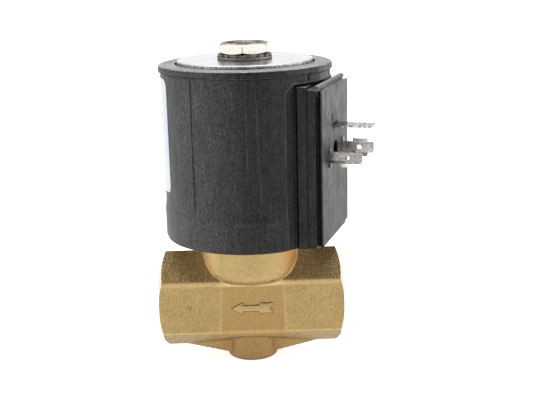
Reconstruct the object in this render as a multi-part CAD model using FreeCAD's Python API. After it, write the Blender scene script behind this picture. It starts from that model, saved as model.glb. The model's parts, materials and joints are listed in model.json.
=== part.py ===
"""Two-way solenoid valve: forged brass body with two threaded ports, a plunger that closes the
seat from above, and an encapsulated round coil that turns on the guide tube.

Millimetres. The origin is the centre of the flat underside of the body's foot, +Z runs up the
coil's axis, +X is the inlet port and -Y is the side that carries the flow arrow.
"""
import FreeCAD, Part
import math
import os

V = FreeCAD.Vector
X_AXIS = V(1, 0, 0)
Y_AXIS = V(0, 1, 0)
Z_AXIS = V(0, 0, 1)
ORIGIN = V(0, 0, 0)
CUT = 2.0                    # how far a cutting tool runs past the face that it cuts

# --- valve body -----------------------------------------------------------------------------
body_length = 62.5           # between the two port faces
body_depth = 24.0            # across the vertical flats
port_axis_z = 20.8
flat_up = 9.6                # vertical flats, above the port axis
flat_down = 9.25             # and below it
ridge_height = 17.3          # top and bottom edges, above and below the port axis
edge_round = 1.1             # rounding of the six long edges
end_cone_r = 12.2            # where the end chamfer meets the port face
end_cone_slope = 0.43        # how far it runs along the body for each mm outwards
waist_depth = 0.6            # how far the middle panel is sunk
waist_left = (9.0, 10.8)     # reach of the panel to the left, at its top and bottom
waist_right = (9.8, 11.4)
waist_slope = 0.9            # width of the panel's sloping sides
belly_drop = 1.1             # how far the panel's lower edge hangs below the flats
belly_taper = 1.5            # its ends slope in by this much
foot_r = 8.7
foot_round = 0.9
keel_half_width = 4.6
keel_tip_half = 0.5
keel_root_z = 1.7            # underside of the keel where it leaves the foot
keel_reach = 23.0            # where the keel runs out into the body's lower edge

# --- ports (G 3/8) and passages -------------------------------------------------------------
port_wall_r = 7.625          # tapping drill of the thread
port_major_r = 8.33
port_depth = 13.0
passage_r = 4.2
orifice_r = 3.2
riser_r = 2.5                # drilling from the inlet up into the chamber
riser_x = 8.1

# --- neck, chamber and seat -----------------------------------------------------------------
neck_r = 16.1
neck_top_z = 43.0
bowl_start_z = 33.4          # the neck is straight above this height
bowl_mid = (14.9, 30.15)     # radius and height half way round its lower edge
bowl_low = (11.9, 29.0)      # radius and height where the lower edge meets the flats
chamber_r = 10.4
chamber_floor_z = 27.0
seat_z = 31.0
seat_r = 4.9
neck_bore_r = 12.4           # threaded for the bonnet
neck_bore_floor_z = 34.4

# --- bonnet, guide tube and core ------------------------------------------------------------
bonnet_bottom_z = 36.0
bonnet_flange_r = 15.2
bonnet_top_z = 44.9
tube_r = 8.0
tube_bore_r = 7.1
tube_bottom_z = 37.4
tube_top_z = 102.4
core_face_z = 75.0
shading_r = 5.9              # outer radius of the copper ring in the core's face
shading_wall = 1.0
shading_height = 1.6
stud_r = 5.0
stud_top_z = 107.7
stud_recess_r = 2.9
seal_ring_minor_r = 0.8
seal_ring_major_r = 11.5

# --- plunger and spring ---------------------------------------------------------------------
plunger_r = 7.03
plunger_top_z = 72.3         # 2.7 mm below the core
seal_r = 5.0
seal_gap = 0.03              # what the seal stands off the seat in the model
seal_thickness = 2.4
spring_pocket_r = 3.4
spring_pocket_z = 60.0
spring_coil_r = 2.7
spring_wire_r = 0.35
spring_turns = 7

# --- coil -----------------------------------------------------------------------------------
coil_bottom_z = 44.1
coil_r = 27.8
base_r = 28.15               # slightly wider ring round the bottom
base_top_z = 54.0
base_taper_z = 57.3
lip_r = 28.5
lip_bottom_z = 99.9
coil_top_z = 102.0
lip_round = 0.9
bottom_round = 1.2
disc_r = 22.3                # both yoke plates
rim_bore_r = 22.95
upper_disc_z = 99.9
upper_disc_top_z = 103.1
lower_disc_z = 45.0
disc_thickness = 3.0
coil_bore_r = 8.07           # runs on the guide tube
sleeve_wall = 1.7
sleeve_gap_deg = 37.0        # half of the sleeve's opening, at the connector
bobbin_wall = 1.5
flange_thickness = 1.6
winding_r = 19.4
coil_turn_deg = -19.0        # the connector points a little towards the front

# --- connector block, in the coil's own frame with the connector on +X ---------------------
face_x = 30.4
face_half_width = 17.0
face_bottom_z = 46.3
face_top_z = 94.9
face_plate_t = 0.6
bead_x = 28.4                # round bead along the top of the face plate
bead_z = 95.85
bead_r = 0.95
undercut = 1.75              # groove behind the face plate, along the block
neck_half_width = 14.9
block_half_width = 16.4
block_step_x = 25.1
block_bottom_z = 44.4
block_top_z = 96.1
step_top_z = 95.3
pocket_half_deg = 45.2       # hollow in the coil's wall on each side of the block
pocket_depth = 1.3
pocket_top_z = 97.1
pocket_corner = 2.6
corner_groove_r = 0.65
slits = ((-26.4, 0.6), (8.0, 1.6))  # short slits under the lip: degrees from the connector, width
slit_bottom_z = 97.7
slit_top_z = 100.3
wall_groove_deg = 108.8      # narrow upright groove
wall_groove_bottom_z = 57.8  # where grooves and ribs end above the base
rib_deg = 71.5               # outer edge of a shallow upright rib
rib_top_width = 3.0
rib_bottom_width = 4.3
rib_height = 0.35

# --- terminals ------------------------------------------------------------------------------
tab_pitch = 18.0
tab_z = 73.1
tab_thickness = 0.8
tab_half_height = 1.85
tab_tip_x = 41.2
tab_shoulder_half = 3.4
tab_shoulder_x = 31.0
tab_tail_x = 18.6
tab_hole_x = 36.3
tab_hole_r = 0.75
ear_from_x = 34.2
ear_to_x = 39.2
ear_length = 1.75
ear_thickness = 0.6
ear_root = 0.35              # how far an ear starts inside the blade's edge
ear_lean_deg = 28.0
earth_z = 82.1
earth_half_width = 3.15
earth_tip_x = 43.2
earth_hole_x = 39.6
screw_z = 74.8
screw_r = 1.25               # tapping drill of M3
insert_r = 2.0
run_out_r = 1.8
insert_from_x = 22.9
insert_to_x = 28.4
window_half_width = 3.1
window_arch_z = 73.9         # centre of the opening's round top
window_bottom_z = 72.2

# --- fasteners above the coil ---------------------------------------------------------------
nut_flats = 15.5
nut_bottom_z = 104.8
nut_top_z = 108.4
nut_turn_deg = -5.0
washer_r = 9.0
washer_bottom_z = 103.2
washer_top_z = 104.0
tooth_count = 18
tooth_depth = 0.8

# --- label ----------------------------------------------------------------------------------
label_from_deg = 136.0       # from the connector, round the back of the coil
label_to_deg = 256.0
label_bottom_z = 61.0
label_top_z = 98.2
label_t = 0.12
label_corner = 2.6


# --- small helpers --------------------------------------------------------------------------
def rod(r, z0, z1, x=0.0, y=0.0):
    """Upright cylinder."""
    return Part.makeCylinder(r, z1 - z0, V(x, y, z0), Z_AXIS)


def ring(r_in, r_out, z0, z1):
    return rod(r_out, z0, z1).cut(rod(r_in, z0 - CUT, z1 + CUT))


def rod_x(r, x0, x1, y, z):
    """Cylinder along X."""
    return Part.makeCylinder(r, x1 - x0, V(x0, y, z), X_AXIS)


def block(x0, x1, y0, y1, z0, z1):
    return Part.makeBox(x1 - x0, y1 - y0, z1 - z0, V(x0, y0, z0))


def prism(points, along):
    """Solid from a closed outline of points, pushed along a vector."""
    return Part.Face(Part.makePolygon(points + points[:1])).extrude(along)


def turned(profile, start=ORIGIN, axis=Z_AXIS):
    """Solid of revolution from a closed outline of points in a half plane."""
    return Part.Face(Part.makePolygon(profile + profile[:1])).revolve(start, axis, 360)


def sector(r, half_deg, z0, z1, centre_deg=0.0):
    """Upright wedge of a cylinder, centred on a direction in the XY plane."""
    wedge = Part.makeCylinder(r, z1 - z0, V(0, 0, z0), Z_AXIS, 2 * half_deg)
    wedge.rotate(ORIGIN, Z_AXIS, centre_deg - half_deg)
    return wedge


def mirrored(shape):
    """The same shape on the other side of the XZ plane."""
    return shape.mirror(ORIGIN, Y_AXIS)


def edges_where(shape, test):
    return [edge for edge in shape.Edges if test(edge)]


def placed_on_coil(shape):
    """Turns a shape from the coil's own frame into the valve's."""
    shape.rotate(ORIGIN, Z_AXIS, coil_turn_deg)
    return shape


# --- valve body -----------------------------------------------------------------------------
def body_bar():
    """Six-sided bar along X with rounded edges and a turned chamfer at both ends."""
    half_depth = body_depth / 2
    outline = [(-half_depth, -flat_down), (-half_depth, flat_up), (0, ridge_height),
               (half_depth, flat_up), (half_depth, -flat_down), (0, -ridge_height)]
    start = -body_length / 2
    bar = prism([V(start, y, port_axis_z + z) for y, z in outline], V(body_length, 0, 0))
    long_edges = edges_where(bar, lambda edge: abs(edge.Length - body_length) < 0.01)
    bar = bar.makeFillet(edge_round, long_edges)
    half = body_length / 2
    reach = ridge_height + CUT
    run = (reach - end_cone_r) * end_cone_slope
    cone = turned([V(-half, 0, port_axis_z), V(-half, 0, port_axis_z + end_cone_r),
                   V(-half + run, 0, port_axis_z + reach), V(half - run, 0, port_axis_z + reach),
                   V(half, 0, port_axis_z + end_cone_r), V(half, 0, port_axis_z)],
                  V(0, 0, port_axis_z), X_AXIS)
    return bar.common(cone)


def waist_cut():
    """Sunk panel in the middle of the front flat, wider at the bottom."""
    y_floor = -body_depth / 2 + waist_depth
    y_open = -body_depth / 2 - waist_depth
    z_top = port_axis_z + ridge_height
    z_bottom = port_axis_z - ridge_height

    def outline(y, grow):
        corners = [V(-waist_left[0] - grow, y, z_top), V(waist_right[0] + grow, y, z_top),
                   V(waist_right[1] + grow, y, z_bottom), V(-waist_left[1] - grow, y, z_bottom)]
        return Part.makePolygon(corners + corners[:1])

    return Part.makeLoft([outline(y_floor, 0), outline(y_open, 2 * waist_slope)], True, True)


def flow_arrow():
    """Raised arrow with a barbed head and a feathered tail; it points along the flow, to -X."""
    y_floor = -body_depth / 2 + waist_depth
    upper = [(-6.8, 0.0), (-3.6, 2.0), (-3.1, 1.9), (-3.4, 1.0), (2.3, 1.0), (3.7, 2.0),
             (6.9, 2.1), (5.8, 0.15)]
    lower = [(x, -z) for x, z in reversed(upper[1:])]
    points = [V(x, y_floor + waist_depth, port_axis_z + z) for x, z in upper + lower]
    return prism(points, V(0, -waist_depth - 0.4, 0))


def maker_pip():
    """Tiny raised ring on the left of the front flat."""
    pip_x = -20.9
    pip = Part.makeCylinder(0.75, 1.25, V(pip_x, -body_depth / 2 - 0.25, port_axis_z), Y_AXIS)
    return pip.cut(Part.makeCylinder(0.4, 1.0, V(pip_x, -body_depth / 2 - CUT / 2, port_axis_z),
                                     Y_AXIS))


def belly():
    """Small bulge below the front panel, where the body swells towards the foot."""
    y_front = -body_depth / 2 + waist_depth
    edge = port_axis_z - flat_down
    left, right = waist_left[1], waist_right[1]
    outline = [V(-left, y_front, edge + 1), V(-left, y_front, edge),
               V(-left + belly_taper, y_front, edge - belly_drop),
               V(right - belly_taper, y_front, edge - belly_drop),
               V(right, y_front, edge), V(right, y_front, edge + 1)]
    across = [V(-left - 1, y_front, edge + 1), V(-left - 1, y_front, edge - belly_drop),
              V(-left - 1, y_front + 6.4, edge - belly_drop - 3.1), V(-left - 1, y_front + 6.4, edge + 1)]
    return prism(outline, V(0, 6.4, 0)).common(prism(across, V(left + right + 2, 0, 0)))


def neck():
    """Round turret whose lower end is rounded like a bowl."""
    low_r, low_z = bowl_low
    inner_z = port_axis_z
    curve = Part.Arc(V(neck_r, 0, bowl_start_z), V(bowl_mid[0], 0, bowl_mid[1]),
                     V(low_r, 0, low_z)).toShape()
    lines = Part.makePolygon([V(low_r, 0, low_z), V(low_r - 3, 0, inner_z), V(0, 0, inner_z),
                              V(0, 0, neck_top_z), V(neck_r - 0.5, 0, neck_top_z),
                              V(neck_r, 0, neck_top_z - 0.5), V(neck_r, 0, bowl_start_z)])
    return Part.Face(Part.Wire([curve] + lines.Edges)).revolve(ORIGIN, Z_AXIS, 360)


def foot():
    """Round foot under the body, with a rounded lower edge."""
    boss = rod(foot_r, 0, port_axis_z - flat_down)
    lower_edge = edges_where(boss, lambda edge: abs(edge.BoundBox.ZMax) < 0.01)
    return boss.makeFillet(foot_round, lower_edge)


def keel():
    """Shallow tapering wedges that run from the foot out to the body's lower edge."""
    low = port_axis_z - ridge_height
    side = [V(-keel_reach, 0, low + 0.3), V(-foot_r, 0, keel_root_z), V(foot_r, 0, keel_root_z),
            V(keel_reach, 0, low + 0.3), V(keel_reach, 0, low + 5), V(-keel_reach, 0, low + 5)]
    slab = prism([point - V(0, keel_half_width, 0) for point in side],
                 V(0, 2 * keel_half_width, 0))
    plan = [V(-keel_reach, -keel_tip_half, 0), V(-foot_r, -keel_half_width, 0),
            V(foot_r, -keel_half_width, 0), V(keel_reach, -keel_tip_half, 0),
            V(keel_reach, keel_tip_half, 0), V(foot_r, keel_half_width, 0),
            V(-foot_r, keel_half_width, 0), V(-keel_reach, keel_tip_half, 0)]
    return slab.common(prism(plan, V(0, 0, port_axis_z)))


def port(side):
    """Threaded port and the passage behind it, on +X for side 1 and -X for side -1."""
    face = side * body_length / 2
    chamfer = port_major_r + 0.2 - port_wall_r
    z = port_axis_z
    end = face - side * port_depth
    tip = end - side * (port_wall_r - passage_r) * 0.6
    profile = [V(face + side * CUT, 0, z), V(face + side * CUT, 0, z + port_wall_r + chamfer),
               V(face, 0, z + port_wall_r + chamfer), V(face - side * chamfer, 0, z + port_wall_r),
               V(end, 0, z + port_wall_r), V(tip, 0, z + passage_r), V(tip, 0, z)]
    return turned(profile, V(0, 0, z), X_AXIS)


def passages():
    """Inlet drilling and riser to the chamber; orifice and outlet drilling from the seat."""
    outlet = rod_x(passage_r, -body_length / 2 + port_depth, orifice_r, 0, port_axis_z)
    orifice = rod(orifice_r, port_axis_z, seat_z + CUT)
    inlet = rod_x(passage_r, riser_x, body_length / 2 - port_depth, 0, port_axis_z)
    riser = rod(riser_r, port_axis_z, chamber_floor_z + CUT, riser_x)
    return outlet.fuse([orifice, inlet, riser])


def chamber():
    """Room around the seat and the threaded bore for the bonnet."""
    room = ring(seat_r, chamber_r, chamber_floor_z, seat_z)
    above_seat = rod(chamber_r, seat_z, neck_top_z)
    bore = rod(neck_bore_r, neck_bore_floor_z, neck_top_z + CUT)
    return room.fuse([above_seat, bore])


def valve_body():
    bar = body_bar()
    front = waist_cut()
    bar = bar.cut(front).cut(mirrored(front))
    solid = bar.fuse([neck(), foot(), keel(), belly(), mirrored(belly())]).removeSplitter()
    solid = solid.fuse([flow_arrow(), maker_pip()])
    solid = solid.cut(chamber()).cut(passages()).cut(port(1)).cut(port(-1))
    return solid.removeSplitter()


# --- bonnet, tube and core ------------------------------------------------------------------
def bonnet():
    """Flange screwed into the neck; it holds the guide tube. Two flats take a wrench."""
    body = rod(neck_bore_r, bonnet_bottom_z, neck_top_z)
    body = body.fuse(rod(bonnet_flange_r, neck_top_z, bonnet_top_z))
    body = body.cut(rod(tube_r, tube_bottom_z, bonnet_top_z + CUT))
    body = body.cut(rod(tube_bore_r + 0.5, bonnet_bottom_z - CUT, tube_bottom_z + CUT))
    flat = bonnet_flange_r - 1.2
    for side in (1, -1):
        near, far = sorted((side * flat, side * (flat + 5)))
        body = body.cut(block(near, far, -20, 20, neck_top_z + 0.01, bonnet_top_z + CUT))
    return body.removeSplitter()


def bonnet_seal():
    return Part.makeTorus(seal_ring_major_r, seal_ring_minor_r,
                          V(0, 0, neck_bore_floor_z + seal_ring_minor_r), Z_AXIS)


def guide_tube():
    return ring(tube_bore_r, tube_r, tube_bottom_z, tube_top_z)


def fixed_core():
    """Steel core closing the tube, with the stud for the coil's nut on top."""
    core = rod(tube_bore_r, core_face_z, tube_top_z).fuse(rod(stud_r, tube_top_z, stud_top_z))
    stud_edge = edges_where(core, lambda edge: edge.BoundBox.ZMin > stud_top_z - 0.01)
    core = core.makeChamfer(0.6, stud_edge)
    core = core.cut(Part.makeCone(0.4, stud_recess_r, 2.2, V(0, 0, stud_top_z - 2.2), Z_AXIS))
    return core.cut(ring(shading_r - shading_wall, shading_r, core_face_z - CUT,
                         core_face_z + shading_height))


def shading_ring():
    return ring(shading_r - shading_wall, shading_r, core_face_z, core_face_z + shading_height)


def coil_nut():
    """Thin hexagon nut, chamfered on both faces."""
    corner_r = nut_flats / math.sqrt(3)
    thickness = nut_top_z - nut_bottom_z
    points = [V(corner_r * math.sin(math.radians(60 * i)), corner_r * math.cos(math.radians(60 * i)),
                nut_bottom_z) for i in range(6)]
    body = prism(points, V(0, 0, thickness))
    rise = 0.75
    face_r = nut_flats / 2 - 0.35
    wide_r = face_r + rise / math.tan(math.radians(27))
    body = body.common(turned([V(0, 0, nut_bottom_z), V(face_r, 0, nut_bottom_z),
                               V(wide_r, 0, nut_bottom_z + rise), V(wide_r, 0, nut_top_z - rise),
                               V(face_r, 0, nut_top_z), V(0, 0, nut_top_z)]))
    body = body.cut(rod(stud_r, nut_bottom_z - CUT, nut_top_z + CUT))
    body = body.cut(Part.makeCone(stud_r, stud_r + 0.7, 0.7, V(0, 0, nut_top_z - 0.7), Z_AXIS))
    body.rotate(ORIGIN, Z_AXIS, nut_turn_deg)
    return body


def lock_washer():
    """Washer with teeth round its outer edge."""
    outer_r = washer_r - 0.2
    points = []
    for i in range(tooth_count):
        for part, r in ((0.0, outer_r - tooth_depth), (0.18, outer_r), (0.5, outer_r),
                        (0.68, outer_r - tooth_depth)):
            angle = 2 * math.pi * (i + part) / tooth_count
            points.append(V(r * math.cos(angle), r * math.sin(angle), washer_top_z))
    star = prism(points, V(0, 0, nut_bottom_z - washer_top_z))
    return star.cut(rod(stud_r + 0.25, washer_top_z - CUT, nut_bottom_z + CUT))


def plain_washer():
    return ring(stud_r + 0.25, washer_r, washer_bottom_z, washer_top_z)


def return_spring():
    """Compression spring between the plunger's pocket and the core."""
    low = spring_pocket_z + spring_wire_r + 0.05
    high = core_face_z - spring_wire_r - 0.05
    height = high - low
    helix = Part.makeHelix(height / spring_turns, height, spring_coil_r)
    helix.translate(V(0, 0, low))
    wire = Part.Wire(Part.makeCircle(spring_wire_r, V(spring_coil_r, 0, low), Y_AXIS))
    return Part.Wire(helix.Edges).makePipeShell([wire], True, True)


# --- plunger --------------------------------------------------------------------------------
def plunger():
    """Steel plunger with a spring pocket on top, a pocket for the seal and two relief flutes."""
    bottom = seat_z + seal_gap
    body = rod(plunger_r, bottom + 0.6, plunger_top_z)
    body = body.cut(rod(spring_pocket_r, spring_pocket_z, plunger_top_z + CUT))
    body = body.cut(rod(seal_r, bottom - CUT, bottom + seal_thickness))
    for side in (1, -1):
        body = body.cut(rod(1.3, bottom - CUT, plunger_top_z + CUT, 0, side * (plunger_r + 0.5)))
    return body


def valve_seal():
    """Rubber disc let into the plunger's lower face."""
    bottom = seat_z + seal_gap
    return rod(seal_r, bottom, bottom + seal_thickness)


# --- coil -----------------------------------------------------------------------------------
def terminal_blade(side):
    """Upright contact blade with a shouldered root and two ears that lean inwards."""
    y = side * tab_pitch / 2
    near, far = y - tab_thickness / 2, y + tab_thickness / 2
    low, high = tab_z - tab_half_height, tab_z + tab_half_height
    blade = block(tab_tail_x, tab_tip_x - 0.6, near, far, low, high)
    tip_points = [V(tab_tip_x - 0.6, near, low), V(tab_tip_x - 0.6, near, high),
                  V(tab_tip_x, near, high - 0.5), V(tab_tip_x, near, low + 0.5)]
    blade = blade.fuse(prism(tip_points, V(0, tab_thickness, 0)))
    blade = blade.fuse(block(face_x - 3.4, tab_shoulder_x, near, far, tab_z - tab_shoulder_half,
                             tab_z + tab_shoulder_half))
    for up in (1, -1):
        ear = block(ear_from_x, ear_to_x, -ear_thickness / 2, ear_thickness / 2, 0, ear_length)
        ear.rotate(ORIGIN, X_AXIS, side * ear_lean_deg)
        if up == -1:
            ear = ear.mirror(ORIGIN, Z_AXIS)
        ear.translate(V(0, y, tab_z + up * (tab_half_height - ear_root)))
        blade = blade.fuse(ear)
    hole = Part.makeCylinder(tab_hole_r, 4, V(tab_hole_x, y - 2, tab_z), Y_AXIS)
    return blade.cut(hole).removeSplitter()


def earth_blade():
    """Flat contact blade above the other two, with a rounded tip."""
    low = earth_z - tab_thickness / 2
    blade = block(disc_r, earth_tip_x - 1.2, -earth_half_width, earth_half_width,
                  low, low + tab_thickness)
    tip = [V(earth_tip_x - 1.2, -earth_half_width, low), V(earth_tip_x, -earth_half_width + 1.2, low),
           V(earth_tip_x, earth_half_width - 1.2, low), V(earth_tip_x - 1.2, earth_half_width, low)]
    blade = blade.fuse(prism(tip, V(0, 0, tab_thickness)))
    return blade.cut(rod(tab_hole_r, low - CUT, earth_z + CUT, earth_hole_x)).removeSplitter()


def screw_insert():
    """Brass insert for the plug's fixing screw."""
    body = rod_x(insert_r, insert_from_x, insert_to_x, 0, screw_z)
    return body.cut(rod_x(screw_r, insert_from_x - CUT, insert_to_x + CUT, 0, screw_z))


def shell_wall():
    """Outer wall of the coil: lip on top, wider base, upright ribs, grooves and slits."""
    mid = 1 - math.sqrt(0.5)
    points = [V(0, 0, coil_bottom_z), V(base_r - bottom_round, 0, coil_bottom_z),
              V(base_r - bottom_round * mid, 0, coil_bottom_z + bottom_round * mid),
              V(base_r, 0, coil_bottom_z + bottom_round), V(base_r, 0, base_top_z),
              V(coil_r, 0, base_taper_z), V(coil_r, 0, lip_bottom_z - 0.3),
              V(lip_r, 0, lip_bottom_z), V(lip_r, 0, coil_top_z - lip_round),
              V(lip_r - lip_round * mid, 0, coil_top_z - lip_round * mid),
              V(lip_r - lip_round, 0, coil_top_z), V(0, 0, coil_top_z)]
    wall = turned(points)
    for side in (1, -1):
        wall = wall.cut(wall_groove(side)).fuse(wall_rib(side))
    return wall.cut([lip_slit(degrees, width) for degrees, width in slits])


def wall_groove(side):
    """Narrow upright groove that ends above the coil's base."""
    direction = math.radians(side * wall_groove_deg)
    return rod(0.35, wall_groove_bottom_z, lip_bottom_z - 0.5, coil_r * math.cos(direction),
               coil_r * math.sin(direction))


def wall_rib(side):
    """Shallow upright rib, a little wider at the bottom."""
    low = wall_groove_bottom_z
    high = lip_bottom_z - 0.5
    outline = [V(coil_r - 2, 0, low), V(coil_r - 2, 0, high), V(coil_r - 2, -rib_top_width, high),
               V(coil_r - 2, -rib_bottom_width, low)]
    rib = prism(outline, V(4, 0, 0)).common(rod(coil_r + rib_height, low - CUT, high + CUT))
    rib.rotate(ORIGIN, Z_AXIS, rib_deg)
    return rib if side == 1 else mirrored(rib)


def lip_slit(degrees, width):
    """Short upright slit under the lip, near the connector block."""
    slit = block(coil_r - 1.2, lip_r + CUT, -width / 2, width / 2, slit_bottom_z, slit_top_z)
    slit.rotate(ORIGIN, Z_AXIS, degrees)
    return slit


def shell_pocket():
    """Shallow hollow in the wall on both sides of the connector block, open at the bottom."""
    half = math.radians(pocket_half_deg)
    wide = coil_r * math.sin(half)
    near = coil_r * math.cos(half) - 3
    z0 = coil_bottom_z - CUT
    outline = [V(near, -wide, z0), V(near, -wide, pocket_top_z - pocket_corner),
               V(near, -wide + pocket_corner, pocket_top_z),
               V(near, wide - pocket_corner, pocket_top_z),
               V(near, wide, pocket_top_z - pocket_corner), V(near, wide, z0)]
    hollow = prism(outline, V(20, 0, 0))
    return hollow.cut(rod(coil_r - pocket_depth, z0 - CUT, coil_top_z + CUT))


def connector_block():
    """Block that carries the contacts: stepped sides, groove, face plate and a bead on top."""
    inner = 15.0
    groove_back = face_x - face_plate_t - undercut
    step_half_width = block_half_width - 0.4
    root = block(inner, block_step_x, -block_half_width, block_half_width, block_bottom_z,
                 block_top_z)
    step = block(block_step_x - 1, groove_back, -step_half_width, step_half_width,
                 block_bottom_z + 0.2, step_top_z)
    web = block(groove_back - 1, face_x - 0.3, -neck_half_width, neck_half_width,
                block_bottom_z + 0.8, face_top_z + 0.15)
    plate = block(face_x - face_plate_t, face_x, -face_half_width, face_half_width, face_bottom_z,
                  face_top_z)
    bead = Part.makeCylinder(bead_r, 2 * (block_half_width + 0.2),
                             V(bead_x, -block_half_width - 0.2, bead_z), Y_AXIS)
    bead_ends = edges_where(bead, lambda edge: edge.BoundBox.YLength < 0.01)
    bead = bead.makeFillet(0.4, bead_ends)
    bead_root = block(bead_x - 0.7, bead_x + 0.5, -step_half_width + 0.2, step_half_width - 0.2,
                      step_top_z - 2, bead_z - 0.2)
    body = root.fuse([step, web, plate, bead, bead_root])
    return body.cut(rod(disc_r + 0.5, 0, coil_top_z))


def corner_grooves():
    """Upright grooves where the block leaves the coil's wall."""
    x = math.sqrt((coil_r - pocket_depth) ** 2 - block_half_width ** 2)
    return [rod(corner_groove_r, coil_bottom_z - CUT, pocket_top_z - 1.6, x + 0.75,
                side * block_half_width) for side in (1, -1)]


def screw_window():
    """Arched opening in the face plate in front of the screw insert."""
    half = window_half_width
    opening = block(insert_to_x, face_x + CUT, -half, half, window_bottom_z, window_arch_z)
    arch = rod_x(half, insert_to_x, face_x + CUT, 0, window_arch_z)
    below = block(insert_to_x - CUT, face_x + 2 * CUT, -10, 10, window_bottom_z - 10,
                  window_bottom_z)
    return opening.fuse(arch).cut(below)


def shell_cavity():
    """Room for the yoke, bobbin and winding; the wall fills the sleeve's opening."""
    hollow = rod(disc_r, coil_bottom_z - CUT, coil_top_z + CUT)
    fill = sector(disc_r, sleeve_gap_deg, lower_disc_z + disc_thickness, upper_disc_z)
    fill = fill.cut(rod(disc_r - sleeve_wall, 0, coil_top_z + CUT))
    return hollow.cut(fill).fuse(rod(rim_bore_r, upper_disc_z, coil_top_z + CUT))


def coil_shell():
    shell = shell_wall().cut(shell_pocket()).fuse(connector_block()).removeSplitter()
    shell = shell.cut(corner_grooves()).cut(shell_cavity())
    shell = shell.cut([terminal_blade(1), terminal_blade(-1), earth_blade(), screw_insert_blank(),
                       screw_window()])
    return shell.removeSplitter()


def screw_insert_blank():
    """The screw insert without its bore, and the screw's run-out behind it."""
    run_out = rod_x(run_out_r, insert_from_x - 1.4, insert_to_x, 0, screw_z)
    return rod_x(insert_r, insert_from_x, insert_to_x, 0, screw_z).fuse(run_out)


def upper_yoke_plate():
    plate = ring(coil_bore_r, disc_r, upper_disc_z, upper_disc_top_z)
    rim = edges_where(plate, lambda edge: edge.BoundBox.ZMin > upper_disc_top_z - 0.01
                      and edge.BoundBox.XLength > disc_r)
    return plate.makeFillet(0.5, rim)


def lower_yoke_plate():
    return ring(coil_bore_r, disc_r, lower_disc_z, lower_disc_z + disc_thickness)


def yoke_sleeve():
    """Steel sleeve joining the two plates, open at the connector."""
    low = lower_disc_z + disc_thickness
    tube = ring(disc_r - sleeve_wall, disc_r, low, upper_disc_z)
    return tube.cut(sector(disc_r + CUT, sleeve_gap_deg, low - CUT, upper_disc_z + CUT))


def bobbin():
    """Plastic reel: tube with a flange at each end."""
    low = lower_disc_z + disc_thickness
    flange_r = disc_r - sleeve_wall - 0.2
    reel = ring(coil_bore_r, coil_bore_r + bobbin_wall, low, upper_disc_z)
    lower = ring(coil_bore_r, flange_r, low, low + flange_thickness)
    upper = ring(coil_bore_r, flange_r, upper_disc_z - flange_thickness, upper_disc_z)
    return reel.fuse([lower, upper]).removeSplitter()


def winding():
    low = lower_disc_z + disc_thickness + flange_thickness
    wound = ring(coil_bore_r + bobbin_wall, winding_r, low, upper_disc_z - flange_thickness)
    return wound.cut([terminal_blade(1), terminal_blade(-1)])


def coil_label():
    """Thin label wrapped round the back of the coil, with rounded corners."""
    half = (label_to_deg - label_from_deg) / 2
    centre = (label_to_deg + label_from_deg) / 2
    skin = sector(coil_r + label_t, half, label_bottom_z, label_top_z, -centre)
    skin = skin.cut(rod(coil_r, 0, coil_top_z + CUT))
    inset_deg = math.degrees(label_corner / coil_r)
    corner = [(-label_from_deg - inset_deg, 1), (-label_to_deg + inset_deg, -1)]
    for direction, side in corner:
        skin = skin.cut(label_corner_tool(direction, side, label_top_z - label_corner, 1))
        skin = skin.cut(label_corner_tool(direction, side, label_bottom_z + label_corner, -1))
    return skin


def label_corner_tool(direction, side, z, up):
    """What a rounded corner takes off the label; side and up say which way the corner points."""
    reach = label_corner + 1
    y0, y1 = sorted((0, side * reach))
    z0, z1 = sorted((z, z + up * reach))
    tool = block(coil_r - 3, coil_r + 3, y0, y1, z0, z1)
    tool = tool.cut(rod_x(label_corner, coil_r - 4, coil_r + 4, 0, z))
    tool.rotate(ORIGIN, Z_AXIS, direction)
    return tool


# --- write one file per piece ---------------------------------------------------------------
VALVE_PIECES = {
    "valve_body": valve_body,
    "bonnet": bonnet,
    "bonnet_seal": bonnet_seal,
    "guide_tube": guide_tube,
    "fixed_core": fixed_core,
    "shading_ring": shading_ring,
    "coil_nut": coil_nut,
    "lock_washer": lock_washer,
    "plain_washer": plain_washer,
    "return_spring": return_spring,
    "plunger": plunger,
    "valve_seal": valve_seal,
}
COIL_PIECES = {
    "coil_shell": coil_shell,
    "upper_yoke_plate": upper_yoke_plate,
    "lower_yoke_plate": lower_yoke_plate,
    "yoke_sleeve": yoke_sleeve,
    "bobbin": bobbin,
    "winding": winding,
    "power_terminal_front": lambda: terminal_blade(-1),
    "power_terminal_rear": lambda: terminal_blade(1),
    "earth_terminal": earth_blade,
    "screw_insert": screw_insert,
    "coil_label": coil_label,
}

os.makedirs("parts", exist_ok=True)
for pieces, place in ((VALVE_PIECES, lambda shape: shape), (COIL_PIECES, placed_on_coil)):
    for node, make in pieces.items():
        solid = place(make())
        solid.exportStep("parts/" + node + ".step")
        print(node, len(solid.Solids), solid.isValid(), round(solid.Volume, 1))
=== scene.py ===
"""Looks of the solenoid valve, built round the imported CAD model.

Metres, in the model's own frame: +Z up the coil's axis, +X out of the inlet port, -Y the front.
The forged body is rebuilt as one soft-edged casting with crisp machined ends. Every other piece,
hidden or not, is the CAD piece itself with its edges broken and a procedural material.
"""

import json
import math

import bmesh
import bpy
from mathutils import Matrix, Vector, noise


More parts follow.
